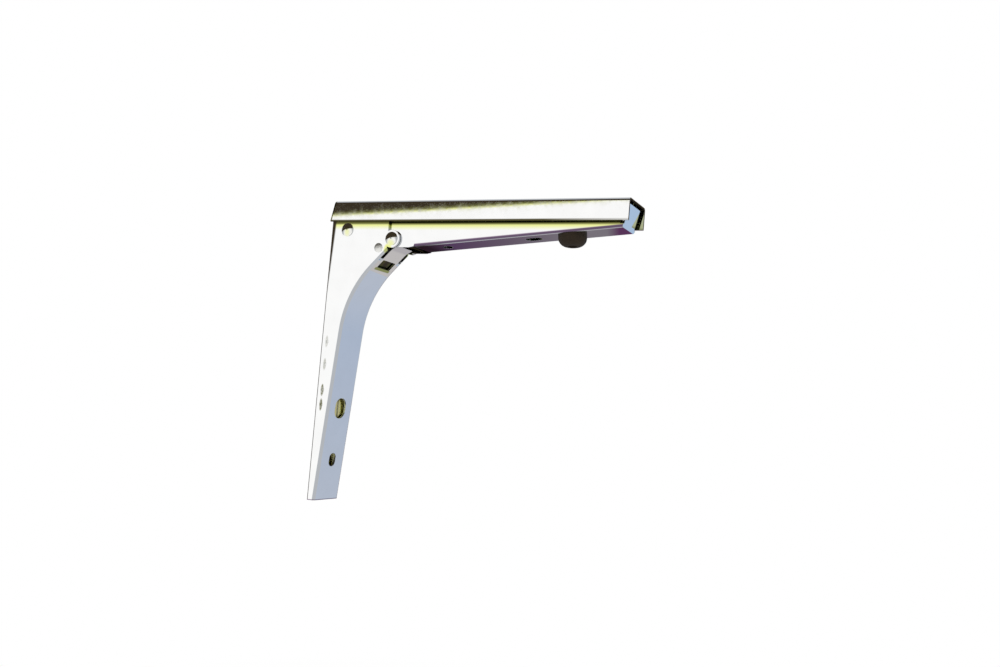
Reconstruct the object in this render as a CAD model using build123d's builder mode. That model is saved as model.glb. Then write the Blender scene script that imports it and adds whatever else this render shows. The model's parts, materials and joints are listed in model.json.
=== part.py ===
"""Folding shelf bracket in folded stainless sheet, with a press-to-release lock.

A wall leg (a channel closed at the back by a wall plate) carries a hinge pin. A shelf arm (a rail
with a tapered channel under it) turns on that pin and folds down against the leg. A sprung lever
inside the leg hooks over a catch pin between the arm's ears. Pressing the lever's pad through the
window in the leg lets the arm fold.

Millimetres. +X points away from the wall, +Z up, and Y runs along the wall. X = 0 is the wall
plane. The origin is the centre of the two main wall screws. A drop is a depth below the shelf.
"""

import os
from math import atan2, cos, radians, sin, tan

from build123d import *

os.makedirs("parts", exist_ok=True)

# Sheet and main sizes
sheet = 2.0
bend_inner_radius = 1.0
bend_outer_radius = bend_inner_radius + sheet
rail_length = 310.0
rail_width = 40.0
rail_depth = 20.0
rail_end_slant = 4.5
leg_height = 290.0
nest_gap = 0.3  # between the rail's flanges and the leg's cheeks
joint_gap = 0.5  # between the leg's cheeks and the arm's ears, filled by thin washers
seat_gap = 0.4  # under the rail's top plate, above the leg's cheeks
pin_gap = 0.05  # radial gap of a pin in its hole
face_gap = 0.02  # between flat faces that run on each other
touch_gap = 0.3  # between neighbours that move past each other
fuse_depth = 1.0  # how far a solid reaches into the one that it is fused with
cut_room = 1.0  # how far a cut reaches past the face that it opens
edge_reach = 1e-3  # how near an edge lies to a plane to count as on it
mostly = 0.9  # the share of an edge's direction along an axis that counts as along it

# Widths that nest into each other, as half widths from the middle plane
rail_half = rail_width / 2
leg_half = rail_half - sheet - nest_gap
leg_inner_half = leg_half - sheet
arm_half = leg_inner_half - joint_gap
arm_inner_half = arm_half - sheet

# Wall screws, by their drop below the shelf
screw_hole_radius = 2.75
top_screw_drop = 14.0
middle_screw_drop = 200.5
bottom_screw_drop = 251.0
shelf_z = (top_screw_drop + middle_screw_drop) / 2

# Hinge
hinge_x = 70.8
hinge_drop = 36.4
hinge_pin_radius = 3.5
hinge_head_radius = 6.5
rivet_head_height = 1.4
rivet_rim_share = 1 / 3  # of a head's height that is its straight rim
bush_radius = 4.4

# Leg outline: an upright front and a ramp, with a curve between them, and a lip at the ramp's end
cheek_setback = sheet  # the cheeks start behind the wall plate's bends
seam_behind_hinge = 4.5
seam_x = hinge_x - seam_behind_hinge  # where the cheeks and the ramp end
hinge_lobe_radius = 8.5
toe_x = 9.5
web_lean = 4.5  # of the leg's front from upright, in degrees
web_curve_radius = 100.0
ramp_lean = 45.0
ramp_end_below_hinge = 10.9
ramp_end_drop = hinge_drop + ramp_end_below_hinge
lip_radius = 14.0
lip_turn = 18.0
lip_length = 5.5
tongue_half = 11.6
notch_behind_hinge = 13.8
notch_x = hinge_x - notch_behind_hinge

# Openings in the leg's front
window_length = 10.0
window_half_width = 9.5
window_below_ramp_end = 16.5  # its centre, along the ramp
driver_slot_width = 15.0
driver_slot_length = 20.0
small_slot_width = 9.0
small_slot_length = 13.0
weld_radius = 1.6
weld_depth = 0.25
weld_inset = 8.5
weld_drops = (137.0, 159.0, 184.0, 198.0)

# Arm channel outline
arm_ear_x = 30.0
arm_ear_drop = 24.0
arm_ear_chamfer = 6.0
arm_lobe_radius = 7.6
arm_web_beyond_hinge = 23.2
arm_web_start_x = hinge_x + arm_web_beyond_hinge
arm_web_start_drop = 43.0
arm_throat_run = 5.0  # from the web's start back to the lower edge of the ears
arm_end_x = 303.0
arm_end_drop = 24.8
arm_tab_lean = 5.0  # how far the end tab leans out on its way up
arm_tab_top_drop = 4.0
tab_slit = 0.6
shelf_screw_x = 122.0
shelf_screw_spacing = 90.0
driver_hole_radius = 5.0
arm_slot_length = 16.0

# Lock
lock_pivot_x = 20.0
lock_pivot_drop = 92.0
lock_pin_radius = 2.5
lever_half = 11.8
lever_eye_radius = 6.5
lock_travel = 5.5  # degrees
pad_gap = 1.0  # between the window's inner face and the push pad
pad_below_window = 5.5
pad_above_window = 2.0
pad_edge_radius = 1.8
catch_x = 38.0
catch_drop = 14.0
catch_pin_radius = 2.5
catch_pin_proud = 0.2
hook_gap = 0.5  # between the catch pin and the hook, on both faces
hook_thickness = 4.0
hook_reach = 4.0  # of the nose past the catch pin's middle
hook_neck = 5.2
hook_throat_below_catch = 10.0  # where the hook widens into the lever
lever_past_stop = 3.0
lever_tube_radius = 4.0

# Spacer rivet at the top of the leg, which carries the lock's spring
spacer_x = 19.7
spacer_drop = 27.9
spacer_pin_radius = 3.0
spacer_tube_radius = 4.4
spacer_head_radius = 6.5
spring_wire = 1.2
spring_wire_sides = 6  # the round wire is drawn as a prism, to keep its mesh small
spring_turns = 3.0
spring_pitch_gap = 0.3
spring_foot_drop = 45.0

# Stop rivet that the lever rests against
stop_behind_hinge = 13.8
stop_below_hinge = 8.8
stop_x = hinge_x - stop_behind_hinge
stop_drop = hinge_drop + stop_below_hinge
stop_pin_radius = 2.25
stop_head_radius = 4.5
stop_head_height = 0.7

# Bumper
bumper_x = 250.0
bumper_radius = 13.0
bumper_height = 10.0
bumper_wall = 2.0  # its straight rim
bumper_tip_radius = 5.5
bumper_recess_depth = 4.0
bumper_rivet_radius = 2.0
bumper_head_radius = 4.0
bumper_head_height = 1.2

# Wall plate
plate_depth = 16.0
plate_top_drop = 4.0
plate_top_chamfer = 6.0
plate_eye_radius = 6.0  # round the lock's pin
plate_bottom_gap = 2.0
plate_bottom_drop = leg_height - plate_bottom_gap
plate_toe_depth = 5.5
plate_taper_drop = 130.0
plate_gap = 0.02  # spot-welded flanges against the cheeks
plate_notch_gap = 1.0  # of the flanges round the spacer tube


def at(x, drop):
    """A point of the middle plane, from its distance to the wall and its drop below the shelf."""
    return (x, shelf_z - drop)


def cross_plane(x, drop):
    """A plane at a point whose normal runs along Y, across the bracket."""
    return Plane(origin=(x, 0, shelf_z - drop), x_dir=(1, 0, 0), z_dir=(0, -1, 0))


def turning_plane(x, drop):
    """A plane at a point for profiles that are turned about Y: its first axis is Y and its second Z."""
    return Plane(origin=(x, 0, shelf_z - drop), x_dir=(0, 1, 0), z_dir=(1, 0, 0))


def block(x_range, y_range, drop_range, mode):
    """A plain block between two values of X, of Y and of drop."""
    (x0, x1), (y0, y1), (d0, d1) = x_range, y_range, drop_range
    with Locations(((x0 + x1) / 2, (y0 + y1) / 2, shelf_z - (d0 + d1) / 2)):
        Box(abs(x1 - x0), abs(y1 - y0), abs(d1 - d0), mode=mode)


def cross_hole(x, drop, radius):
    """A round hole right across the bracket."""
    with Locations(cross_plane(x, drop)):
        Cylinder(radius, rail_width * 2, mode=Mode.SUBTRACT)


def long_edges(part, half, z_low, z_high, x_high=rail_length * 2):
    """The edges of a block that lie on its two side planes and run between two heights."""
    return part.edges().filter_by(
        lambda e: abs(abs(e.center().Y) - half) < edge_reach
        and abs(e.tangent_at(0.5).Y) < edge_reach
        and z_low < e.center().Z < z_high
        and 0 < e.center().X < x_high
    )


def upward(lean):
    """The direction up a face that leans out from upright by an angle in degrees."""
    return Vector(sin(radians(lean)), cos(radians(lean)))


def inward(lean):
    """The direction into such a face, square to it."""
    return Vector(-cos(radians(lean)), sin(radians(lean)))


def leg_front(inset):
    """The line of the leg's front from toe to tongue, set in from the outer face. Returns its ends."""
    toe = Vector(*at(toe_x, leg_height))
    ramp_end = Vector(*at(seam_x, ramp_end_drop))
    # The corner where the two straight stretches would meet, and what the curve takes off each
    span = (ramp_end - toe).cross(upward(ramp_lean)).Z
    corner = toe + upward(web_lean) * (span / upward(web_lean).cross(upward(ramp_lean)).Z)
    corner_cut = web_curve_radius * tan(radians(ramp_lean - web_lean) / 2)
    web_run = (corner - toe).length - corner_cut
    ramp_run = (ramp_end - corner).length - corner_cut
    start = toe + inward(web_lean) * inset
    web = Line(start, start + upward(web_lean) * web_run)
    curve = JernArc(web @ 1, web % 1, web_curve_radius + inset, web_lean - ramp_lean)
    ramp = Line(curve @ 1, curve @ 1 + (curve % 1) * ramp_run)
    lip = JernArc(ramp @ 1, ramp % 1, lip_radius + inset, -lip_turn)
    end = Line(lip @ 1, lip @ 1 + (lip % 1) * lip_length)
    return web @ 0, end @ 1


def ramp_plane(below_end, inset):
    """A plane on the leg's ramp, facing out, below the ramp's end and set in from its outer face."""
    point = Vector(*at(seam_x, ramp_end_drop))
    point += inward(ramp_lean) * inset - upward(ramp_lean) * below_end
    facing = inward(ramp_lean) * -1
    return Plane(
        origin=(point.X, 0, point.Y), x_dir=(0, 1, 0), z_dir=(facing.X, 0, facing.Y)
    )


def tube(x, drop, outer, inner, half_length, offset=0.0):
    """A tube or washer across the bracket, centred at an offset along Y."""
    with BuildPart() as made:
        with Locations((x, offset, shelf_z - drop)):
            Cylinder(outer, half_length * 2, rotation=(90, 0, 0))
            Cylinder(inner, half_length * 2, rotation=(90, 0, 0), mode=Mode.SUBTRACT)
    return made.part


def rivet(x, drop, radius, head_radius, head_height, seat_half):
    """A rivet across the bracket with a low crowned head seated on each side."""
    rim = seat_half + head_height * rivet_rim_share
    with BuildPart() as made:
        with BuildSketch(turning_plane(x, drop)):
            with BuildLine():
                Polyline((rim, head_radius), (seat_half, head_radius), (seat_half, radius), (0, radius))
                Polyline((0, radius), (0, 0), (seat_half + head_height, 0))
                TangentArc((seat_half + head_height, 0), (rim, head_radius), tangent=(0, 1))
            make_face()
        revolve(axis=Axis((x, 0, shelf_z - drop), (0, 1, 0)))
        mirror(about=Plane.XZ)
    return made.part


# The rail: a flat channel open below, with a slanted rear end
with BuildPart() as arm_rail:
    with BuildSketch(Plane.XZ):
        with BuildLine():
            Polyline(
                at(rail_end_slant, 0),
                at(rail_length, 0),
                at(rail_length, rail_depth),
                at(touch_gap, rail_depth),
                close=True,
            )
        make_face()
    extrude(amount=rail_half, both=True)
    fillet(arm_rail.edges().filter_by(Axis.X).group_by(Axis.Z)[-1], bend_outer_radius)
    with BuildPart(mode=Mode.PRIVATE) as rail_core:
        block(
            (-rail_length, rail_length * 2),
            (sheet - rail_half, rail_half - sheet),
            (sheet, rail_depth * 2),
            Mode.ADD,
        )
        fillet(rail_core.edges().filter_by(Axis.X).group_by(Axis.Z)[-1], bend_inner_radius)
    add(rail_core.part, mode=Mode.SUBTRACT)
    for x in (shelf_screw_x, shelf_screw_x + shelf_screw_spacing):
        with Locations((x, 0, shelf_z)):
            Cylinder(screw_hole_radius, (sheet + cut_room) * 2, mode=Mode.SUBTRACT)
arm_rail.part.label = "arm_rail"
export_step(arm_rail.part, "parts/arm_rail.step")


# The arm's channel: open above, welded under the rail, with two ears that reach into the leg
arm_slope = atan2(arm_web_start_drop - arm_end_drop, arm_end_x - arm_web_start_x)
tab_slope = arm_tab_lean / (arm_end_drop - arm_tab_top_drop)


def web_drop(x, inset=0.0):
    """The drop of the arm's web at a distance from the wall, set in from its outer face."""
    return arm_web_start_drop - (x - arm_web_start_x) * tan(arm_slope) - inset / cos(arm_slope)


def tab_x(drop, inset=0.0):
    """How far the end tab stands from the wall at a drop."""
    return arm_end_x + (arm_end_drop - drop) * tab_slope - inset


with BuildPart() as arm_channel:
    with BuildSketch(Plane.XZ):
        with BuildLine():
            Polyline(
                at(arm_web_start_x, sheet),
                at(arm_web_start_x, arm_web_start_drop),
                at(arm_end_x, arm_end_drop),
                at(tab_x(sheet), sheet),
                close=True,
            )
        make_face()
    extrude(amount=arm_half, both=True)
    below_rail = shelf_z - sheet - cut_room
    fold = long_edges(arm_channel, arm_half, shelf_z - arm_web_start_drop, below_rail)
    fillet(fold.filter_by(lambda e: abs(e.tangent_at(0.5).X) > mostly), bend_outer_radius)
    with BuildPart(mode=Mode.PRIVATE) as arm_core:
        core_start = arm_web_start_x - sheet
        core_end_drop = web_drop(arm_end_x - sheet, sheet)
        with BuildSketch(Plane.XZ):
            with BuildLine():
                Polyline(
                    at(core_start, 0),
                    at(core_start, web_drop(core_start, sheet)),
                    at(tab_x(core_end_drop, sheet), core_end_drop),
                    at(tab_x(0, sheet), 0),
                    close=True,
                )
            make_face()
        extrude(amount=arm_inner_half, both=True)
        fold = long_edges(arm_core, arm_inner_half, -rail_length, below_rail)
        fillet(fold.filter_by(lambda e: abs(e.tangent_at(0.5).X) > mostly), bend_inner_radius)
    add(arm_core.part, mode=Mode.SUBTRACT)
    block(
        (arm_end_x - sheet, rail_length * 2),
        (-rail_half, rail_half),
        (sheet, arm_tab_top_drop),
        Mode.SUBTRACT,
    )
    for s in (-1, 1):
        # Slits between the end tab and the cheeks
        block(
            (arm_end_x - sheet, rail_length * 2),
            (s * (arm_inner_half - tab_slit), s * rail_half),
            (sheet, arm_end_drop - bend_outer_radius),
            Mode.SUBTRACT,
        )
        # Cheeks and ears
        with BuildSketch(Plane.XZ.offset(-s * (arm_half - sheet / 2))):
            with BuildLine():
                Polyline(
                    at(arm_web_start_x + fuse_depth, sheet),
                    at(arm_web_start_x + fuse_depth, arm_web_start_drop - bend_outer_radius),
                    at(arm_web_start_x, arm_web_start_drop),
                    at(arm_web_start_x - arm_throat_run, hinge_drop + arm_lobe_radius),
                    at(hinge_x, hinge_drop + arm_lobe_radius),
                    at(hinge_x, hinge_drop),
                    at(hinge_x - arm_lobe_radius, hinge_drop),
                    at(hinge_x - arm_lobe_radius, arm_ear_drop),
                    at(arm_ear_x, arm_ear_drop),
                    at(arm_ear_x, sheet + seat_gap),
                    at(arm_ear_x + arm_ear_chamfer, sheet),
                    close=True,
                )
            make_face()
            with Locations(at(hinge_x, hinge_drop)):
                Circle(arm_lobe_radius)
        extrude(amount=sheet / 2, both=True)
    cross_hole(hinge_x, hinge_drop, hinge_pin_radius + pin_gap)
    cross_hole(catch_x, catch_drop, catch_pin_radius + pin_gap)
    # Ways for a screwdriver through the web
    with BuildSketch(Plane.XY.offset(shelf_z - arm_end_drop / 2)):
        with Locations((shelf_screw_x, 0)):
            Circle(driver_hole_radius)
        with Locations((shelf_screw_x + shelf_screw_spacing, 0)):
            SlotOverall(arm_slot_length, driver_hole_radius * 2)
    extrude(amount=-arm_web_start_drop, mode=Mode.SUBTRACT)
    # The hole of the bumper's rivet, square to the web
    bumper_plane = Plane(
        origin=(bumper_x, 0, shelf_z - web_drop(bumper_x)),
        x_dir=(0, 1, 0),
        z_dir=(sin(arm_slope), 0, -cos(arm_slope)),
    )
    with Locations(bumper_plane):
        Cylinder(bumper_rivet_radius + pin_gap, (sheet + cut_room) * 2, mode=Mode.SUBTRACT)
arm_channel.part.label = "arm_channel"
export_step(arm_channel.part, "parts/arm_channel.step")


# The leg's channel: two cheeks, and a front that curves out to a tongue below the hinge
with BuildPart() as leg_channel:
    with BuildSketch(Plane.XZ):
        with BuildLine():
            toe, tip = leg_front(0)
            Polyline(tip, at(tip.X, 0), at(cheek_setback, 0), at(cheek_setback, leg_height), toe)
        make_face()
    extrude(amount=leg_half, both=True)
    above_toe = shelf_z - leg_height + cut_room
    below_tongue = shelf_z - ramp_end_drop + lip_length
    fold = long_edges(leg_channel, leg_half, above_toe, below_tongue, tip.X - edge_reach)
    fillet(fold.filter_by(lambda e: e.center().X > cheek_setback + cut_room), bend_outer_radius)
    with BuildPart(mode=Mode.PRIVATE) as leg_core:
        with BuildSketch(Plane.XZ):
            with BuildLine():
                core_toe, core_tip = leg_front(sheet)
                Polyline(
                    core_tip,
                    core_tip + Vector(rail_width, 0),
                    Vector(core_tip.X + rail_width, shelf_z + rail_depth),
                    Vector(-rail_depth, shelf_z + rail_depth),
                    Vector(-rail_depth, core_toe.Y - rail_depth),
                    core_toe - Vector(tan(radians(web_lean)), 1) * rail_depth,
                    core_toe,
                )
            make_face()
        extrude(amount=leg_inner_half, both=True)
        fold = long_edges(leg_core, leg_inner_half, above_toe, below_tongue)
        fillet(fold.filter_by(lambda e: e.center().X < core_tip.X), bend_inner_radius)
    add(leg_core.part, mode=Mode.SUBTRACT)
    block((0, rail_length), (-rail_half, rail_half), (0, sheet + seat_gap), Mode.SUBTRACT)
    beyond = (0, leg_height / 2)
    for s in (-1, 1):
        # The cheeks end at the seam, and the front is notched beside the tongue for the arm's cheeks
        block((seam_x, rail_length), (s * tongue_half, s * rail_width), beyond, Mode.SUBTRACT)
        block((notch_x, rail_length), (s * tongue_half, s * leg_inner_half), beyond, Mode.SUBTRACT)
        with BuildSketch(Plane.XZ.offset(-s * (leg_half - sheet / 2))):
            with Locations(at(hinge_x, hinge_drop)):
                Circle(hinge_lobe_radius)
        extrude(amount=sheet / 2, both=True)
    cross_hole(hinge_x, hinge_drop, hinge_pin_radius + pin_gap)
    cross_hole(spacer_x, spacer_drop, spacer_pin_radius + pin_gap)
    cross_hole(stop_x, stop_drop, stop_pin_radius + pin_gap)
    # Window for the push pad, in the ramp
    with BuildSketch(ramp_plane(window_below_ramp_end, 0)):
        RectangleRounded(window_half_width * 2, window_length, bend_inner_radius)
    extrude(amount=sheet * 2, both=True, mode=Mode.SUBTRACT)
    # Ways for a screwdriver to the wall screws
    for drop, width, length in (
        (middle_screw_drop, driver_slot_width, driver_slot_length),
        (bottom_screw_drop, small_slot_width, small_slot_length),
    ):
        with BuildSketch(Plane.YZ.offset(cheek_setback + cut_room)):
            with Locations((0, shelf_z - drop)):
                SlotOverall(length, width, rotation=90)
        extrude(amount=rail_width, mode=Mode.SUBTRACT)
    # Spot-weld marks in the cheeks
    for s in (-1, 1):
        with BuildSketch(Plane.XZ.offset(-s * leg_half)):
            with Locations([at(weld_inset, drop) for drop in weld_drops]):
                Circle(weld_radius)
        extrude(amount=weld_depth, both=True, mode=Mode.SUBTRACT)
leg_channel.part.label = "leg_channel"
export_step(leg_channel.part, "parts/leg_channel.step")


# The wall plate: a shallow channel spot-welded between the cheeks
plate_half = leg_inner_half - plate_gap
with BuildPart() as wall_plate:
    with BuildSketch(Plane.XZ):
        with BuildLine():
            Polyline(
                at(0, plate_top_drop),
                at(plate_depth, plate_top_drop + plate_top_chamfer),
                at(plate_depth, plate_taper_drop),
                at(plate_toe_depth, plate_bottom_drop),
                at(0, plate_bottom_drop),
                close=True,
            )
        make_face()
        with Locations(at(lock_pivot_x, lock_pivot_drop)):
            Circle(plate_eye_radius)
        with Locations(at((lock_pivot_x + sheet) / 2, lock_pivot_drop)):
            Rectangle(lock_pivot_x - sheet, plate_eye_radius * 2)
    extrude(amount=plate_half, both=True)
    fillet(wall_plate.edges().filter_by(Axis.Z).group_by(Axis.X)[0], bend_outer_radius)
    with BuildPart(mode=Mode.PRIVATE) as plate_core:
        block(
            (sheet, rail_length),
            (sheet - plate_half, plate_half - sheet),
            (-rail_depth, leg_height + rail_depth),
            Mode.ADD,
        )
        fillet(plate_core.edges().filter_by(Axis.Z).group_by(Axis.X)[0], bend_inner_radius)
    add(plate_core.part, mode=Mode.SUBTRACT)
    cross_hole(lock_pivot_x, lock_pivot_drop, lock_pin_radius + pin_gap)
    cross_hole(spacer_x, spacer_drop, spacer_tube_radius + plate_notch_gap)
    with BuildSketch(Plane.YZ.offset(-cut_room)):
        for drop in (top_screw_drop, middle_screw_drop, bottom_screw_drop):
            with Locations((0, shelf_z - drop)):
                Circle(screw_hole_radius)
    extrude(amount=sheet + cut_room * 2, mode=Mode.SUBTRACT)
wall_plate.part.label = "wall_plate"
export_step(wall_plate.part, "parts/wall_plate.step")


# Hinge: a rivet through both cheeks, with a bush that keeps the arm's ears apart and thin washers
hinge_pin = rivet(
    hinge_x, hinge_drop, hinge_pin_radius, hinge_head_radius, rivet_head_height, leg_half
)
hinge_pin.label = "hinge_pin"
export_step(hinge_pin, "parts/hinge_pin.step")

hinge_bush = tube(
    hinge_x, hinge_drop, bush_radius, hinge_pin_radius + pin_gap, arm_inner_half - face_gap
)
hinge_bush.label = "hinge_bush"
export_step(hinge_bush, "parts/hinge_bush.step")

with BuildPart() as hinge_washers:
    for s in (-1, 1):
        add(
            tube(
                hinge_x,
                hinge_drop,
                hinge_head_radius,
                hinge_pin_radius + pin_gap,
                joint_gap / 2 - face_gap,
                s * (arm_half + joint_gap / 2),
            )
        )
hinge_washers.part.label = "hinge_washers"
export_step(hinge_washers.part, "parts/hinge_washers.step")


# Spacer rivet at the top of the leg, its tube, and the lock's torsion spring round the tube
spacer_rivet = rivet(
    spacer_x, spacer_drop, spacer_pin_radius, spacer_head_radius, rivet_head_height, leg_half
)
spacer_rivet.label = "spacer_rivet"
export_step(spacer_rivet, "parts/spacer_rivet.step")

spacer_tube = tube(
    spacer_x, spacer_drop, spacer_tube_radius, spacer_pin_radius + pin_gap, plate_half
)
spacer_tube.label = "spacer_tube"
export_step(spacer_tube, "parts/spacer_tube.step")

stop_rivet = rivet(
    stop_x, stop_drop, stop_pin_radius, stop_head_radius, stop_head_height, leg_half
)
stop_rivet.label = "stop_rivet"
export_step(stop_rivet, "parts/stop_rivet.step")


# The lock's lever: a U of sheet that turns on a hidden pin, with its push pad behind the window
pad_inset = sheet + pad_gap
pad_low = window_below_ramp_end + window_length / 2 + pad_below_window
pad_high = window_below_ramp_end - window_length / 2 - pad_above_window
pad_plane = ramp_plane((pad_low + pad_high) / 2, pad_inset)
pad_bottom = ramp_plane(pad_low, pad_inset).origin
pad_top = ramp_plane(pad_high, pad_inset).origin
hook_face_x = catch_x - catch_pin_radius - hook_gap
hook_throat_drop = catch_drop + hook_throat_below_catch
nose_drop = catch_drop - catch_pin_radius - hook_gap
stop_face_x = stop_x - stop_pin_radius - touch_gap
lever_shoulder_drop = stop_drop - stop_pin_radius - lever_past_stop
swing = (lock_pivot_drop - spacer_drop) * tan(radians(lock_travel))
lever_back_x = spacer_x + spacer_tube_radius + swing + touch_gap * 2
with BuildPart() as lock_lever:
    for s in (-1, 1):
        with BuildSketch(Plane.XZ.offset(-s * (lever_half - sheet / 2))):
            with BuildLine():
                Polyline(
                    (pad_bottom.X, pad_bottom.Z),
                    (pad_top.X, pad_top.Z),
                    (stop_face_x, pad_top.Z + (pad_top.X - stop_face_x)),
                    at(stop_face_x, lever_shoulder_drop),
                    at(hook_face_x, hook_throat_drop),
                    at(hook_face_x, nose_drop),
                    at(catch_x + hook_reach, nose_drop),
                    at(catch_x + hook_reach, nose_drop - hook_thickness / 2),
                    at(catch_x + hook_reach / 2, nose_drop - hook_thickness),
                    at(hook_face_x - hook_neck, nose_drop - hook_thickness),
                    at(hook_face_x - hook_neck, catch_drop),
                    at(lever_back_x, spacer_drop),
                    at(lock_pivot_x - lever_eye_radius, lock_pivot_drop),
                    at(lock_pivot_x, lock_pivot_drop),
                    at(lock_pivot_x, lock_pivot_drop + lever_eye_radius),
                    close=True,
                )
            make_face()
            with Locations(at(lock_pivot_x, lock_pivot_drop)):
                Circle(lever_eye_radius)
        extrude(amount=sheet / 2, both=True)
    with BuildSketch(pad_plane):
        Rectangle(lever_half * 2, pad_low - pad_high)
    extrude(amount=-sheet)
    pad_edges = lock_lever.edges().filter_by(
        lambda e: abs(abs(e.center().Y) - lever_half) < edge_reach
        and abs(pad_plane.to_local_coords(e.center()).Z) < edge_reach
    )
    fillet(pad_edges, pad_edge_radius)
    cross_hole(lock_pivot_x, lock_pivot_drop, lock_pin_radius + pin_gap)
lock_lever.part.label = "lock_lever"
export_step(lock_lever.part, "parts/lock_lever.step")

with BuildPart() as lock_pin:
    with Locations(cross_plane(lock_pivot_x, lock_pivot_drop)):
        Cylinder(lock_pin_radius, plate_half * 2)
lock_pin.part.label = "lock_pin"
export_step(lock_pin.part, "parts/lock_pin.step")

lock_bush = tube(
    lock_pivot_x,
    lock_pivot_drop,
    lever_tube_radius,
    lock_pin_radius + pin_gap,
    lever_half - sheet - face_gap,
)
lock_bush.label = "lock_bush"
export_step(lock_bush, "parts/lock_bush.step")

washer_room = (plate_half - sheet - lever_half) / 2
with BuildPart() as lock_washers:
    for s in (-1, 1):
        add(
            tube(
                lock_pivot_x,
                lock_pivot_drop,
                lever_tube_radius,
                lock_pin_radius + pin_gap,
                washer_room - face_gap,
                s * (lever_half + washer_room),
            )
        )
lock_washers.part.label = "lock_washers"
export_step(lock_washers.part, "parts/lock_washers.step")

# The torsion spring: a coil round the spacer tube, one leg on the wall plate and one behind the pad
coil_radius = spacer_tube_radius + touch_gap + spring_wire / 2
coil_pitch = spring_wire + spring_pitch_gap
coil_half = spring_turns * coil_pitch / 2
wire_rest = spring_wire / 2 + touch_gap  # from a face to the middle of a spring leg that lies on it
plate_rest_x = sheet + wire_rest
pad_back = ramp_plane(window_below_ramp_end, pad_inset + sheet + wire_rest).origin
with BuildPart() as lock_spring:
    with BuildLine():
        coil = Helix(
            coil_pitch,
            coil_half * 2,
            coil_radius,
            center=(spacer_x, coil_half, shelf_z - spacer_drop),
            direction=(0, -1, 0),
        )
        plate_end = Vector(plate_rest_x, (coil @ 0).Y, shelf_z - spring_foot_drop)
        pad_end = Vector(pad_back.X, (coil @ 1).Y, pad_back.Z)
        plate_leg = Spline(plate_end, coil @ 0, tangents=((coil @ 0) - plate_end, coil % 0))
        pad_leg = Spline(coil @ 1, pad_end, tangents=(coil % 1, pad_end - (coil @ 1)))
    for path in (coil, plate_leg, pad_leg):
        with BuildSketch(Plane(origin=path @ 0, z_dir=path % 0)) as wire:
            RegularPolygon(spring_wire / 2, spring_wire_sides)
        sweep(sections=wire.sketch, path=path, is_frenet=path is coil)
lock_spring.part.label = "lock_spring"
export_step(lock_spring.part, "parts/lock_spring.step")


# The catch pin between the arm's ears
with BuildPart() as catch_pin:
    with Locations(cross_plane(catch_x, catch_drop)):
        Cylinder(catch_pin_radius, (arm_half + catch_pin_proud) * 2)
catch_pin.part.label = "catch_pin"
export_step(catch_pin.part, "parts/catch_pin.step")


# The rubber bumper under the arm, and the rivet in its recess
turned_bumper_plane = Plane(
    origin=bumper_plane.origin, x_dir=(0, 1, 0), z_dir=(-cos(arm_slope), 0, -sin(arm_slope))
)
bumper_axis = Axis(bumper_plane.origin, bumper_plane.z_dir)
recess_floor = bumper_height - bumper_recess_depth
recess_radius = bumper_head_radius + touch_gap
with BuildPart() as bumper:
    with BuildSketch(turned_bumper_plane):
        with BuildLine():
            Polyline(
                (bumper_radius, bumper_wall),
                (bumper_radius, 0),
                (bumper_rivet_radius + pin_gap, 0),
                (bumper_rivet_radius + pin_gap, recess_floor),
                (recess_radius, recess_floor),
                (recess_radius, bumper_height),
                (bumper_tip_radius, bumper_height),
            )
            TangentArc(
                (bumper_radius, bumper_wall), (bumper_tip_radius, bumper_height), tangent=(0, 1)
            )
        make_face()
    revolve(axis=bumper_axis)
bumper.part.label = "bumper"
export_step(bumper.part, "parts/bumper.step")

with BuildPart() as bumper_rivet:
    with BuildSketch(turned_bumper_plane):
        with BuildLine():
            Polyline(
                (0, -sheet - bumper_head_height),
                (bumper_head_radius, -sheet - bumper_head_height / 2),
                (bumper_head_radius, -sheet),
                (bumper_rivet_radius, -sheet),
                (bumper_rivet_radius, recess_floor),
                (bumper_head_radius, recess_floor),
                (bumper_head_radius, recess_floor + bumper_head_height / 2),
                (0, recess_floor + bumper_head_height),
                close=True,
            )
        make_face()
    revolve(axis=bumper_axis)
bumper_rivet.part.label = "bumper_rivet"
export_step(bumper_rivet.part, "parts/bumper_rivet.step")
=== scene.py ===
"""Looks of the folding shelf bracket: mirror-polished steel in a white studio, from below right.

Every CAD node keeps its shape and gets a node material. The polished faces show the white room
with its grey parts, the dark flag and the tinted cards. Other colours are painted by place, where
the real bracket shows them: olive stains on the leg, and elsewhere painted reflections and shade.
Whether those are marks or reflections isn't known.
"""

import json
import math

import bpy
from mathutils import Matrix, Vector


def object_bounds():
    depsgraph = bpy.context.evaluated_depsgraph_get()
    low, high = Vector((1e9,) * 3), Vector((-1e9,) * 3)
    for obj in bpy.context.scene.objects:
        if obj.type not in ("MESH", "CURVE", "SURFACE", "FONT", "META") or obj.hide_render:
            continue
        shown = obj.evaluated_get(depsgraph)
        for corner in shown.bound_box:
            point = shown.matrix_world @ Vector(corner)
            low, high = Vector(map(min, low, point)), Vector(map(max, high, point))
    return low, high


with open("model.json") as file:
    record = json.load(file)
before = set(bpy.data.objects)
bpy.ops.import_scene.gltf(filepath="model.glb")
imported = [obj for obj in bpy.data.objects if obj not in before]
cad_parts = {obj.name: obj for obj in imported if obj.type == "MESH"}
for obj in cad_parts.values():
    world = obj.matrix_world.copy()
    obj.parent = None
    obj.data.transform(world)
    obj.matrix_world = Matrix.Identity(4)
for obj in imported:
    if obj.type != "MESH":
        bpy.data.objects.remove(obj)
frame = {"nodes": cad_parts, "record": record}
cad_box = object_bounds()
low, high = cad_box
middle = (low + high) / 2
shelf_z = high.z
MM = 0.001

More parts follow.
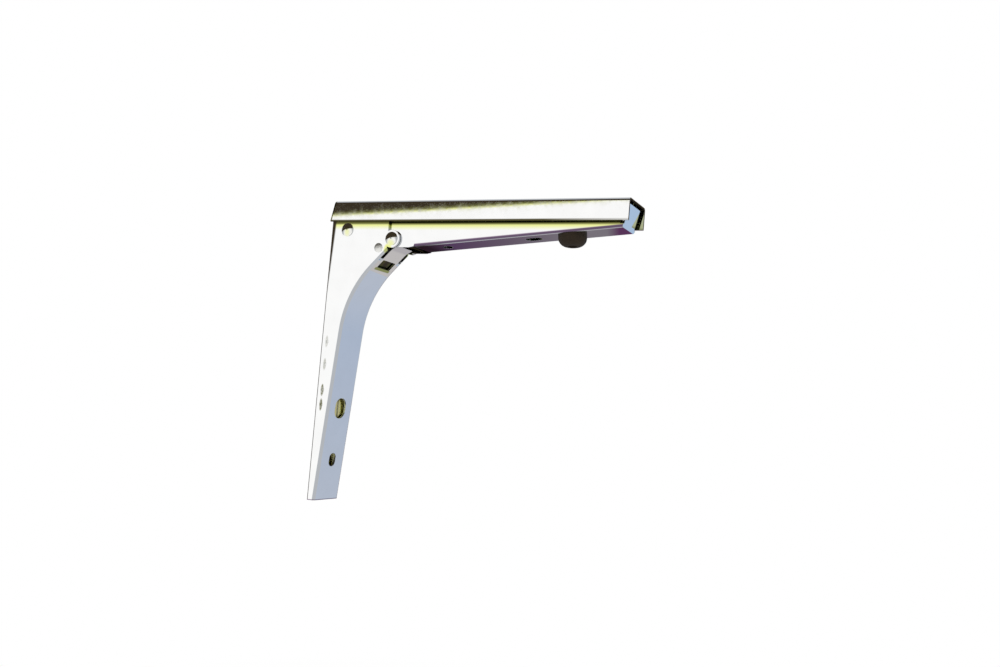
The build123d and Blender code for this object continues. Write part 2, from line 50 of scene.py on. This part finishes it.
# Camera: where it stands round the bracket's middle, and how it is turned and framed
CAMERA_AZIMUTH = 19.1
CAMERA_ELEVATION = -2.66
CAMERA_ROLL = 4.4
CAMERA_DISTANCE = 0.8
CAMERA_SCALE = 1.077  # picture points that a millimetre takes at the bracket's middle
CAMERA_SHIFT = (-0.15, 0.05)
CAMERA_OFFSET = (0.168, -0.023)  # sideways and up, in metres

IMAGE_WIDTH = 1000
SENSOR_WIDTH = 36.0

# The leg's front and the painted shade along its rear edge, in millimetres
LEG_LEAN = 4.5  # degrees
LEG_TOE_X = 9.5
LEG_HEIGHT = 290.0
REAR_SHADE_TAPER = 0.05
REAR_SHADE_REACH = 7.0

# Studio, in metres
FLOOR_REACH = 12.0
BRIGHT_SIDE = (32, -3)  # degrees from straight ahead to the left, and up
BRIGHT_REACH = (27, 20)  # degrees around it
ROOM_GREY = (0.47, 0.49, 0.52)
FLOOR_Z = -0.55
FLAG_Y = -1.2
FLAG_X = (-3.0, 0.3)
FLAG_EDGE_Z = 0.4385  # at X = 0
FLAG_SLOPE = 0.0414
FLAG_FRINGE = 0.015
FLAG_TOP_Z = 1.5


# Materials


def new_material(name):
    """A material with an empty Principled shader, and its nodes, links and shader."""
    material = bpy.data.materials.new(name)
    material.use_nodes = True
    tree = material.node_tree
    return material, tree.nodes, tree.links, tree.nodes["Principled BSDF"]


def noise(nodes, links, coordinates, scale, detail=3.0, roughness=0.5, distortion=0.0):
    """A noise texture on the given coordinates."""
    texture = nodes.new("ShaderNodeTexNoise")
    texture.inputs["Scale"].default_value = scale
    texture.inputs["Detail"].default_value = detail
    texture.inputs["Roughness"].default_value = roughness
    texture.inputs["Distortion"].default_value = distortion
    links.new(coordinates, texture.inputs["Vector"])
    return texture.outputs["Fac"]


def ramp(nodes, links, value, stops):
    """A colour ramp with stops of (place, colour or grey)."""
    node = nodes.new("ShaderNodeValToRGB")
    elements = node.color_ramp.elements
    while len(elements) < len(stops):
        elements.new(0.5)
    for element, (place, colour) in zip(elements, stops):
        element.position = place
        grey = isinstance(colour, (int, float))
        element.color = (colour, colour, colour, 1) if grey else (*colour, 1)
    links.new(value, node.inputs["Fac"])
    return node.outputs["Color"]


def span(nodes, links, value, start, end):
    """0 up to start, 1 from end on, and an even rise between them. The two may run either way."""
    node = nodes.new("ShaderNodeMapRange")
    node.inputs["From Min"].default_value = start
    node.inputs["From Max"].default_value = end
    links.new(value, node.inputs["Value"])
    return node.outputs["Result"]


def math_node(nodes, links, operation, a, b=None):
    """A math node on one or two sockets or numbers."""
    node = nodes.new("ShaderNodeMath")
    node.operation = operation
    for socket, value in zip(node.inputs, (a, b)):
        if isinstance(value, (int, float)):
            socket.default_value = value
        elif value is not None:
            links.new(value, socket)
    return node.outputs["Value"]


def product(nodes, links, *factors):
    """The product of several sockets or numbers."""
    result = factors[0]
    for factor in factors[1:]:
        result = math_node(nodes, links, "MULTIPLY", result, factor)
    return result


def object_place(nodes):
    """Coordinates of the surface in the row frame, in metres."""
    return nodes.new("ShaderNodeTexCoord").outputs["Object"]


def split(nodes, links, vector):
    """The three parts of a vector."""
    node = nodes.new("ShaderNodeSeparateXYZ")
    links.new(vector, node.inputs["Vector"])
    return node.outputs["X"], node.outputs["Y"], node.outputs["Z"]


def mixed(nodes, links, factor, a, b):
    """A colour between a and b. Each is a socket or a colour."""
    node = nodes.new("ShaderNodeMix")
    node.data_type = "RGBA"
    links.new(factor, node.inputs["Factor"])
    for socket, value in ((node.inputs[6], a), (node.inputs[7], b)):
        if isinstance(value, tuple):
            socket.default_value = (*value, 1)
        else:
            links.new(value, socket)
    return node.outputs[2]


class Steel:
    """Metal whose colour is built up in layers, with masks from the place on the bracket."""

    def __init__(self, name):
        self.material, self.nodes, self.links, self.shader = new_material(name)
        self.shader.inputs["Metallic"].default_value = 1.0
        self.place = object_place(self.nodes)
        self.x, self.y, z = split(self.nodes, self.links, self.place)
        self.drop = math_node(self.nodes, self.links, "SUBTRACT", shelf_z, z)
        self.side = math_node(self.nodes, self.links, "ABSOLUTE", self.y)
        self.colour = None

    def noise(self, scale, **settings):
        return noise(self.nodes, self.links, self.place, scale, **settings)

    def ramp(self, value, stops):
        return ramp(self.nodes, self.links, value, stops)

    def span(self, value, start, end):
        return span(self.nodes, self.links, value, start * MM, end * MM)

    def product(self, *factors):
        return product(self.nodes, self.links, *factors)

    def layer(self, mask, colour):
        """Lays a colour over what is there, as far as the mask says."""
        self.colour = mixed(self.nodes, self.links, mask, self.colour, colour)

    def oval_mask(self, x, drop, half_width, half_height, softness=0.5):
        """1 inside an upright oval at a place of the middle plane, fading out at its rim."""
        nodes, links = self.nodes, self.links
        across = math_node(nodes, links, "SUBTRACT", self.x, x * MM)
        along = math_node(nodes, links, "SUBTRACT", self.drop, drop * MM)
        across = math_node(nodes, links, "DIVIDE", across, half_width * MM)
        along = math_node(nodes, links, "DIVIDE", along, half_height * MM)
        squares = (math_node(nodes, links, "MULTIPLY", v, v) for v in (across, along))
        reach = math_node(nodes, links, "ADD", *squares)
        return span(nodes, links, reach, 1.0, softness)

    def finish(self, roughness, bump=None):
        self.links.new(self.colour, self.shader.inputs["Base Color"])
        self.links.new(roughness, self.shader.inputs["Roughness"])
        if bump is not None:
            self.links.new(bump, self.shader.inputs["Normal"])
        return self.material


# Colours painted on the steel, mostly as painted reflections and painted shade
OLIVE = (0.13, 0.13, 0.035)
STRAW = (0.86, 0.89, 0.34)
PALE_STRAW_REFLECTION = (0.95, 0.90, 0.62)
PALEST_STRAW = (0.93, 0.93, 0.72)
DARK_BROWN = (0.040, 0.030, 0.018)
BEND_REFLECTION_PLUM = (0.26, 0.17, 0.27)
TOE_REFLECTION_PLUM = (0.20, 0.13, 0.22)
YELLOW_GREEN = (0.40, 0.45, 0.17)
RIM_SHADE_OLIVE = (0.10, 0.09, 0.045)

# Where they are painted, in millimetres: 0 up to the first number, full from the second on.
# A drop is measured down from the shelf, and a side from the middle plane.
LEVER_SIDE = (10.2, 9.6)
RAIL_INSIDE_SIDE = (18.1, 17.9)
SHEET_INSIDE = (1.0, 1.9)  # through the sheet, from its outer face
LEG_INSIDE_DEPTH = (0.6, 1.4)
LEG_INSIDE_SIDE = (15.8, 15.6)
RAIL_END_X = (285.0, 300.0)
RAIL_END_SHADOW_DROP = (5.0, 3.5)
RAIL_RIM_DROP = (18.2, 19.0)
RAIL_RIM_X = (360.0, 230.0)
SLANT_END = (6.4, 5.4)
CHEEK_SIDE = (14.0, 14.6)
CHEEK_DROP = (19.0, 20.0)
REFLECTION_GLOW_DROP = (27.8, 23.6)
SHADE_LINE_DROP = (23.4, 21.6)
THROAT_X = (128.0, 104.0)
THROAT_DROP = (35.0, 38.0)
THROAT_SIDE = (14.9, 14.2)
REAR_SHADE_X = (2.9, 2.5)
BELOW_WINDOW_START = (10.8, 11.6)  # drop less x
BELOW_WINDOW_END = (16.0, 15.0)
BELOW_WINDOW_SIDE = (11.5, 10.5)

# Ovals: x, drop, half width and half height, in millimetres
# The first three are painted straw reflections: under the hinge, and on the hinge's and the
# spacer's heads. The stop rivet's head is only duller.
UNDER_HINGE_REFLECTION = (67.5, 47.5, 5.0, 7.5)
HINGE_HEAD_REFLECTION = (70.8, 41.5, 5.0, 5.0)
SPACER_HEAD_REFLECTION = (20.2, 30.0, 3.5, 5.5)
STOP_HEAD = (57.0, 45.2, 6.0, 6.0)
STAIN_X, STAIN_HALF_WIDTH, STAIN_HALF_HEIGHT = 7.6, 1.9, 6.5
STAINS = ((137, 0.35), (159, 0.45), (184, 1.0), (198, 0.9))  # drop, and strength of the stain

SLANT_OF_END = 0.21  # how far the rail's rear end moves in x for each step down
REAR_SHADE_SOFTNESS = 0.7


def paint_inside_shade_and_reflections(steel, node):
    """Painted reflections and painted shade, in dark brown, olive and straw blotches, on the faces
    inside, and painted shade on the lever's inner part.

    Gives back where the steel is duller, or None."""
    nodes, links = steel.nodes, steel.links
    if node == "lock_lever":
        # Painted shade on the lever's inner part, in dark brown and olive
        dark = steel.ramp(steel.noise(90, detail=4), [(0.4, DARK_BROWN), (0.65, OLIVE)])
        steel.layer(steel.span(steel.side, *LEVER_SIDE), dark)
        return None
    if node == "arm_rail":
        inside = steel.product(
            steel.span(steel.side, *RAIL_INSIDE_SIDE), steel.span(steel.drop, *SHEET_INSIDE)
        )
    elif node == "wall_plate":
        # Painted reflection: pale straw on the wall plate, all but its back face
        steel.layer(steel.span(steel.x, *SHEET_INSIDE), PALE_STRAW_REFLECTION)
        return None
    elif node == "leg_channel":
        lean = math.tan(math.radians(LEG_LEAN))
        front = math_node(nodes, links, "MULTIPLY", steel.drop, -lean)
        front = math_node(nodes, links, "ADD", front, (LEG_TOE_X + LEG_HEIGHT * lean) * MM)
        depth = math_node(nodes, links, "SUBTRACT", front, steel.x)
        inside = steel.product(
            steel.span(depth, *LEG_INSIDE_DEPTH), steel.span(steel.side, *LEG_INSIDE_SIDE)
        )
    else:
        return None
    # Painted reflections and painted shade on the faces inside: blotches from dark brown through
    # olive to straw
    stops = [(0.36, DARK_BROWN), (0.41, OLIVE), (0.46, STRAW), (0.60, PALEST_STRAW)]
    steel.layer(inside, steel.ramp(steel.noise(55, detail=4, roughness=0.6), stops))
    if node == "arm_rail":
        # At the rail's free end inside: a painted straw reflection, and painted shadow under the
        # rail's top
        end = steel.product(inside, steel.span(steel.x, *RAIL_END_X))
        steel.layer(end, STRAW)
        steel.layer(steel.product(end, steel.span(steel.drop, *RAIL_END_SHADOW_DROP)), DARK_BROWN)
        inside = steel.product(inside, steel.span(steel.x, *reversed(RAIL_END_X)))
    return inside


def paint_cheek_shade_and_reflection(steel):
    """Painted shade, a dark olive line, on the cheeks just under the rail's lower edge, and a
    painted straw reflection below it.
    """
    cheeks = steel.product(steel.span(steel.side, *CHEEK_SIDE), steel.span(steel.drop, *CHEEK_DROP))
    steel.layer(steel.product(cheeks, steel.span(steel.drop, *REFLECTION_GLOW_DROP)), STRAW)
    steel.layer(steel.product(cheeks, steel.span(steel.drop, *SHADE_LINE_DROP)), OLIVE)


def paint_arm_shade_and_reflection(steel):
    """Painted shade in the arm's throat beside the leg, and a painted plum reflection on its lower
    bends.
    """
    nodes, links = steel.nodes, steel.links
    # Painted shade, dark brown, in the arm's throat beside the leg
    throat = steel.product(
        steel.span(steel.x, *THROAT_X),
        steel.span(steel.drop, *THROAT_DROP),
        steel.span(steel.side, *THROAT_SIDE),
    )
    steel.layer(throat, DARK_BROWN)
    # Painted plum reflection on the faces that tilt downwards at the lower bends
    out, _, up = split(nodes, links, nodes.new("ShaderNodeTexCoord").outputs["Normal"])
    bend_reflection = steel.product(
        span(nodes, links, up, -0.10, -0.35),
        span(nodes, links, up, -0.97, -0.85),
        span(nodes, links, out, 0.4, 0.3),
    )
    steel.layer(bend_reflection, BEND_REFLECTION_PLUM)


def leg_stains_and_painted_light(steel):
    """Stains at the dimples. Painted shade along the rear edge, and painted reflections: plum on
    the toe's bottom edge, straw under the hinge and yellow-green below the window.
    """
    nodes, links = steel.nodes, steel.links
    ragged = steel.ramp(steel.noise(420, detail=4, roughness=0.7), [(0.38, 0.45), (0.56, 1.0)])
    for drop, strength in STAINS:
        oval_mask = steel.oval_mask(STAIN_X, drop, STAIN_HALF_WIDTH, STAIN_HALF_HEIGHT)
        steel.layer(steel.product(oval_mask, ragged, strength), OLIVE)
    # Painted shade along the rear edge: a strip that narrows downwards, and a thin line at the very
    # edge
    lower = math_node(nodes, links, "MULTIPLY", steel.drop, REAR_SHADE_TAPER)
    reach = math_node(nodes, links, "ADD", steel.x, lower)
    outer, inner = REAR_SHADE_REACH + REAR_SHADE_SOFTNESS, REAR_SHADE_REACH - REAR_SHADE_SOFTNESS
    steel.layer(steel.span(reach, outer, inner), DARK_BROWN)
    steel.layer(steel.span(steel.x, *REAR_SHADE_X), DARK_BROWN)
    # Painted plum reflection along the toe's bottom edge
    toe = LEG_HEIGHT - 1.0
    steel.layer(steel.span(steel.drop, toe, toe + 0.6), TOE_REFLECTION_PLUM)
    # Painted straw reflection on the cheek under the hinge
    under_hinge_reflection = steel.product(steel.oval_mask(*UNDER_HINGE_REFLECTION), steel.span(steel.side, *CHEEK_SIDE))
    steel.layer(under_hinge_reflection, STRAW)
    # Painted yellow-green reflection in a slanted strip below the window
    along = math_node(nodes, links, "SUBTRACT", steel.drop, steel.x)
    below_window_reflection = steel.product(
        steel.span(along, *BELOW_WINDOW_START),
        steel.span(along, *BELOW_WINDOW_END),
        steel.span(steel.side, *BELOW_WINDOW_SIDE),
    )
    steel.layer(below_window_reflection, YELLOW_GREEN)


def rail_end_and_painted_rim_shade(steel):
    """The rail's slanted rear end in olive, and painted shade in olive along its lower rim."""
    nodes, links = steel.nodes, steel.links
    across = math_node(nodes, links, "MULTIPLY", steel.drop, SLANT_OF_END)
    from_end = math_node(nodes, links, "ADD", steel.x, across)
    steel.layer(steel.span(from_end, *SLANT_END), OLIVE)
    # Painted shade along the rail's lower rim
    rim = steel.product(steel.span(steel.drop, *RAIL_RIM_DROP), steel.span(steel.x, *RAIL_RIM_X))
    steel.layer(rim, RIM_SHADE_OLIVE)


def polished_steel(node):
    """Sheet steel, mirror-polished outside and duller inside, with the node's own colours: mostly
    painted reflections and painted shade, and the leg's stains.
    """
    steel = Steel("polished_steel_" + node)
    nodes, links = steel.nodes, steel.links
    tone = [(0.3, (0.935, 0.935, 0.930)), (0.7, (0.965, 0.965, 0.960))]
    steel.colour = steel.ramp(steel.noise(60, detail=4), tone)
    inside = paint_inside_shade_and_reflections(steel, node)
    # Painted shade and a painted reflection on the cheeks under the rail
    if node in ("leg_channel", "arm_channel"):
        paint_cheek_shade_and_reflection(steel)
    marks_and_painted_light = {"arm_channel": paint_arm_shade_and_reflection, "leg_channel": leg_stains_and_painted_light, "arm_rail": rail_end_and_painted_rim_shade}
    if node in marks_and_painted_light:
        marks_and_painted_light[node](steel)
    smear = steel.noise(220, detail=5, roughness=0.6)
    roughness = steel.ramp(smear, [(0.35, 0.02), (0.75, 0.06)])
    if inside is not None:
        roughness = math_node(nodes, links, "MAXIMUM", roughness, steel.product(inside, 0.5))
        metal = math_node(nodes, links, "SUBTRACT", 1.0, steel.product(inside, 0.7))
        links.new(metal, steel.shader.inputs["Metallic"])
    bevel = nodes.new("ShaderNodeBevel")
    bevel.samples = 4
    bevel.inputs["Radius"].default_value = 0.25 * MM
    bump = nodes.new("ShaderNodeBump")
    bump.inputs["Strength"].default_value = 0.02
    bump.inputs["Distance"].default_value = 0.2 * MM
    links.new(steel.noise(90, detail=2), bump.inputs["Height"])
    links.new(bevel.outputs["Normal"], bump.inputs["Normal"])
    return steel.finish(roughness, bump.outputs["Normal"])


def rivet_steel():
    """Turned and pressed rivets: a softer shine with a fine grain. Painted straw reflections sit
    low on the hinge's head and the spacer's, and the stop rivet is duller."""
    steel = Steel("rivet_steel")
    tone = [(0.3, (0.86, 0.855, 0.82)), (0.7, (0.92, 0.915, 0.88))]
    steel.colour = steel.ramp(steel.noise(400), tone)
    # Painted straw reflections low on the hinge's and the spacer's heads
    steel.layer(steel.product(steel.oval_mask(*HINGE_HEAD_REFLECTION, 0.0), 0.8), STRAW)
    steel.layer(steel.product(steel.oval_mask(*SPACER_HEAD_REFLECTION, 0.0), 0.7), STRAW)
    roughness = steel.ramp(steel.noise(1500), [(0.3, 0.05), (0.8, 0.12)])
    dull = steel.product(steel.oval_mask(*STOP_HEAD), 0.32)
    return steel.finish(math_node(steel.nodes, steel.links, "MAXIMUM", roughness, dull))


def spring_steel():
    """Drawn wire, a little darker."""
    steel = Steel("spring_steel")
    tone = [(0.3, (0.42, 0.41, 0.40)), (0.7, (0.55, 0.54, 0.52))]
    steel.colour = steel.ramp(steel.noise(500), tone)
    return steel.finish(steel.ramp(steel.noise(900), [(0.3, 0.22), (0.8, 0.36)]))


def washer_plastic():
    """Off-white nylon."""
    material, nodes, links, shader = new_material("washer_plastic")
    cloud = noise(nodes, links, object_place(nodes), 300)
    tone = ramp(nodes, links, cloud, [(0.3, (0.78, 0.76, 0.70)), (0.7, (0.84, 0.82, 0.77))])
    links.new(tone, shader.inputs["Base Color"])
    links.new(ramp(nodes, links, cloud, [(0.3, 0.45), (0.7, 0.6)]), shader.inputs["Roughness"])
    return material


def bumper_rubber():
    """Black-brown moulded rubber with a fine bloom and grain."""
    material, nodes, links, shader = new_material("bumper_rubber")
    place = object_place(nodes)
    bloom = noise(nodes, links, place, 250, detail=5, roughness=0.65)
    tone = ramp(nodes, links, bloom, [(0.3, (0.024, 0.015, 0.008)), (0.75, (0.040, 0.027, 0.015))])
    links.new(tone, shader.inputs["Base Color"])
    links.new(ramp(nodes, links, bloom, [(0.3, 0.6), (0.8, 0.85)]), shader.inputs["Roughness"])
    shader.inputs["Specular IOR Level"].default_value = 0.25
    bump = nodes.new("ShaderNodeBump")
    bump.inputs["Strength"].default_value = 0.3
    bump.inputs["Distance"].default_value = 0.1 * MM
    links.new(noise(nodes, links, place, 2500), bump.inputs["Height"])
    links.new(bump.outputs["Normal"], shader.inputs["Normal"])
    return material


MAKERS = {
    "rivet_steel": rivet_steel,
    "spring_steel": spring_steel,
    "washer_plastic": washer_plastic,
    "bumper_rubber": bumper_rubber,
}


def dress_nodes():
    """Gives every CAD node the material of its slot. Each piece of sheet steel has its own."""
    materials = {slot: make() for slot, make in MAKERS.items()}
    for part in frame["record"]["subparts"]:
        node, slot = part["node"], part["material_slot"]
        obj = frame["nodes"][node]
        obj.data.materials.clear()
        obj.data.materials.append(materials.get(slot) or polished_steel(node))


# Studio


def seen_by_eye_or_mirror(nodes, links):
    """1 for what the camera, a mirror or glass sees, 0 for other light."""
    path = nodes.new("ShaderNodeLightPath").outputs
    seen = math_node(nodes, links, "MAXIMUM", path["Is Camera Ray"], path["Is Glossy Ray"])
    return math_node(nodes, links, "MAXIMUM", seen, path["Is Transmission Ray"])


def bright_side(nodes, links, direction):
    """1 towards the brightest side of the room, ahead and to the left, and 0 well away from it."""
    azimuth, elevation = (math.radians(a) for a in BRIGHT_SIDE)
    level = math.cos(elevation)
    middle_of_it = (-math.sin(azimuth) * level, -math.cos(azimuth) * level, math.sin(elevation))
    unit, compare = nodes.new("ShaderNodeVectorMath"), nodes.new("ShaderNodeVectorMath")
    unit.operation, compare.operation = "NORMALIZE", "DOT_PRODUCT"
    links.new(direction, unit.inputs[0])
    links.new(unit.outputs["Vector"], compare.inputs[0])
    compare.inputs[1].default_value = middle_of_it
    outer, inner = (math.cos(math.radians(a)) for a in BRIGHT_REACH)
    return span(nodes, links, compare.outputs["Value"], outer, inner)


def room_in_the_steel(nodes, links, direction):
    """The room's colour: white, but grey away from its bright side where the steel mirrors it."""
    path = nodes.new("ShaderNodeLightPath")
    away = math_node(nodes, links, "SUBTRACT", 1.0, bright_side(nodes, links, direction))
    shade = product(nodes, links, away, path.outputs["Is Glossy Ray"])
    return mixed(nodes, links, shade, (1, 1, 1), ROOM_GREY)


def white_world():
    """A white room that lights the bracket at a plain level and shows as white to the camera."""
    world = bpy.data.worlds.new("room")
    bpy.context.scene.world = world
    world.use_nodes = True
    nodes, links = world.node_tree.nodes, world.node_tree.links
    background = nodes["Background"]
    direction = nodes.new("ShaderNodeTexCoord").outputs["Generated"]
    room = room_in_the_steel(nodes, links, direction)
    links.new(room, background.inputs["Color"])
    level = math_node(nodes, links, "MULTIPLY", seen_by_eye_or_mirror(nodes, links), 0.4)
    links.new(math_node(nodes, links, "ADD", level, 0.6), background.inputs["Strength"])


def add_sheet(name, corners, material):
    """A flat sheet of the studio."""
    mesh = bpy.data.meshes.new(name)
    mesh.from_pydata(corners, [], [tuple(range(len(corners)))])
    mesh.materials.append(material)
    obj = bpy.data.objects.new(name, mesh)
    bpy.context.collection.objects.link(obj)
    return obj


def floor():
    """A pale floor that keeps a trace of the bracket's shadow and fades into the white room."""
    material, nodes, links, shader = new_material("floor_white")
    shader.inputs["Roughness"].default_value = 0.9
    cloud = noise(nodes, links, object_place(nodes), 3)
    tone = ramp(nodes, links, cloud, [(0.3, 0.90), (0.7, 0.92)])
    links.new(tone, shader.inputs["Base Color"])
    glow = nodes.new("ShaderNodeEmission")
    mix = nodes.new("ShaderNodeMixShader")
    away = nodes.new("ShaderNodeVectorMath")
    away.operation = "LENGTH"
    links.new(object_place(nodes), away.inputs[0])
    keep = ramp(nodes, links, away.outputs["Value"], [(0.55, 0.85), (0.95, 1.0)])
    towards = nodes.new("ShaderNodeVectorMath")
    towards.operation = "SUBTRACT"
    links.new(object_place(nodes), towards.inputs[0])
    towards.inputs[1].default_value = middle
    room = room_in_the_steel(nodes, links, towards.outputs["Vector"])
    links.new(room, glow.inputs["Color"])
    seen = seen_by_eye_or_mirror(nodes, links)
    links.new(product(nodes, links, seen, keep), mix.inputs["Fac"])
    links.new(shader.outputs["BSDF"], mix.inputs[1])
    links.new(glow.outputs["Emission"], mix.inputs[2])
    links.new(mix.outputs["Shader"], nodes["Material Output"].inputs["Surface"])
    r, z = FLOOR_REACH, FLOOR_Z
    add_sheet("floor", [(-r, -r, z), (r, -r, z), (r, r, z), (-r, r, z)], material)


def card(name, y, x_range, z_range, stops, soft, along="X"):
    """An upright card across the room at a distance y, which shows only in the steel.

    Its colours run along X or Z, from the stops, and it fades out within soft of its edges."""
    material = bpy.data.materials.new(name)
    material.use_nodes = True
    nodes, links = material.node_tree.nodes, material.node_tree.links
    nodes.clear()
    x, _, z = split(nodes, links, object_place(nodes))
    value, limits = (x, x_range) if along == "X" else (z, z_range)
    colour = ramp(nodes, links, span(nodes, links, value, *limits), stops)
    body = 1.0
    for value, limits in ((x, x_range), (z, z_range)):
        rise = span(nodes, links, value, limits[0], limits[0] + soft)
        fall = span(nodes, links, value, limits[1], limits[1] - soft)
        body = product(nodes, links, rise, fall, body)
    glow = nodes.new("ShaderNodeEmission")
    links.new(colour, glow.inputs["Color"])
    mix = nodes.new("ShaderNodeMixShader")
    links.new(body, mix.inputs["Fac"])
    links.new(nodes.new("ShaderNodeBsdfTransparent").outputs["BSDF"], mix.inputs[1])
    links.new(glow.outputs["Emission"], mix.inputs[2])
    output = nodes.new("ShaderNodeOutputMaterial")
    links.new(mix.outputs["Shader"], output.inputs["Surface"])
    (x0, x1), (z0, z1) = x_range, z_range
    obj = add_sheet(name, [(x0, y, z0), (x1, y, z0), (x1, y, z1), (x0, y, z1)], material)
    obj.visible_camera = False
    obj.visible_diffuse = False
    obj.visible_shadow = False
    return obj


def dark_flag():
    """The dark end of the room, high in front, which shows only in the steel. Its lower edge runs
    uphill to the right, through straw and olive. Above, it turns grey over the bracket."""
    material = bpy.data.materials.new("flag")
    material.use_nodes = True
    nodes, links = material.node_tree.nodes, material.node_tree.links
    nodes.clear()
    x, y, z = split(nodes, links, object_place(nodes))
    edge = math_node(nodes, links, "ADD", product(nodes, links, x, FLAG_SLOPE), FLAG_EDGE_Z)
    above = math_node(nodes, links, "SUBTRACT", z, edge)
    tone = span(nodes, links, above, 0, FLAG_FRINGE)
    stops = [(0, (1, 1, 1)), (0.25, STRAW), (0.5, OLIVE), (1.0, DARK_BROWN)]
    glow = nodes.new("ShaderNodeEmission")
    inward = span(nodes, links, y, -0.8, -0.3)
    colour = mixed(nodes, links, inward, ramp(nodes, links, tone, stops), ROOM_GREY)
    links.new(colour, glow.inputs["Color"])
    output = nodes.new("ShaderNodeOutputMaterial")
    links.new(glow.outputs["Emission"], output.inputs["Surface"])
    (x0, x1), y, top = FLAG_X, FLAG_Y, FLAG_TOP_Z
    low0, low1 = (FLAG_EDGE_Z + FLAG_SLOPE * x for x in (x0, x1))
    upright = [(x0, y, low0), (x1, y, low1), (x1, y, top), (x0, y, top)]
    ceiling = [(x0, y, top), (x1, y, top), (x1, -0.2, top), (x0, -0.2, top)]
    for name, corners in (("flag", upright), ("flag_ceiling", ceiling)):
        obj = add_sheet(name, corners, material)
        obj.visible_camera = False
        obj.visible_diffuse = False
        obj.visible_shadow = False


def tinted_cards():
    """What the polished faces show besides white: blue-grey behind to the right, beige and light
    grey low behind, dark plum behind to the left, and the dark end of the room high in front."""
    blue, pale_blue = (0.41, 0.48, 0.61), (0.40, 0.53, 0.72)
    stops = [(0.10, (0.46, 0.51, 0.61)), (0.55, blue), (0.71, pale_blue), (0.81, pale_blue)]
    stops += [(0.86, DARK_BROWN)]
    card("card_right", 0.75, (0.25, 1.25), (-0.545, 0.36), stops, 0.012, "Z")
    beige, light_grey = (0.52, 0.50, 0.50), (0.43, 0.41, 0.43)
    stops = [(0.0, light_grey), (0.45, light_grey), (0.80, beige), (1.0, beige)]
    card("card_low", 0.62, (-0.18, 0.222), (-0.545, -0.30), stops, 0.008)
    brown_plum, violet, grey_plum = (0.066, 0.032, 0.050), (0.085, 0.045, 0.105), (0.19, 0.17, 0.20)
    stops = [(0.36, brown_plum), (0.45, violet), (0.62, (0.13, 0.10, 0.14)), (0.78, grey_plum)]
    stops += [(0.86, grey_plum), (0.89, (0.10, 0.035, 0.10))]
    card("card_left_low", 0.90, (-0.80, 0.07), (-0.40, -0.09), stops, 0.012)
    dark_flag()


def lamp(name, place, size, watts):
    """A soft square lamp that faces the bracket's middle."""
    data = bpy.data.lights.new(name, "AREA")
    data.size = size
    data.energy = watts
    obj = bpy.data.objects.new(name, data)
    bpy.context.collection.objects.link(obj)
    obj.location = place
    obj.rotation_mode = "QUATERNION"
    obj.rotation_quaternion = (Vector(place) - middle).to_track_quat("Z", "Y")
    obj.visible_glossy = False


def camera():
    """The camera, from the values at the top."""
    azimuth, elevation, roll = (
        math.radians(a) for a in (CAMERA_AZIMUTH, CAMERA_ELEVATION, CAMERA_ROLL)
    )
    back = Vector(
        (
            math.sin(azimuth) * math.cos(elevation),
            -math.cos(azimuth) * math.cos(elevation),
            math.sin(elevation),
        )
    )
    turn = (-back).to_track_quat("-Z", "Y") @ Matrix.Rotation(roll, 3, "Z").to_quaternion()
    data = bpy.data.cameras.new("camera")
    data.sensor_width = SENSOR_WIDTH
    focal = CAMERA_SCALE * CAMERA_DISTANCE / MM / IMAGE_WIDTH
    data.lens = focal * SENSOR_WIDTH
    data.shift_x, data.shift_y = CAMERA_SHIFT
    data.clip_start = 0.01
    data.clip_end = 50
    obj = bpy.data.objects.new("camera", data)
    bpy.context.collection.objects.link(obj)
    obj.rotation_mode = "QUATERNION"
    obj.rotation_quaternion = turn
    right, up = turn @ Vector((1, 0, 0)), turn @ Vector((0, 1, 0))
    obj.location = (
        middle
        + back * CAMERA_DISTANCE
        + right * CAMERA_OFFSET[0]
        + up * CAMERA_OFFSET[1]
    )
    bpy.context.scene.camera = obj


dress_nodes()
white_world()
floor()
tinted_cards()
lamp("key", (-1.2, -1.6, 1.4), 1.2, 12)
lamp("fill", (1.6, -0.6, 0.6), 1.0, 6)
camera()
bpy.context.scene.view_settings.view_transform = "Standard"
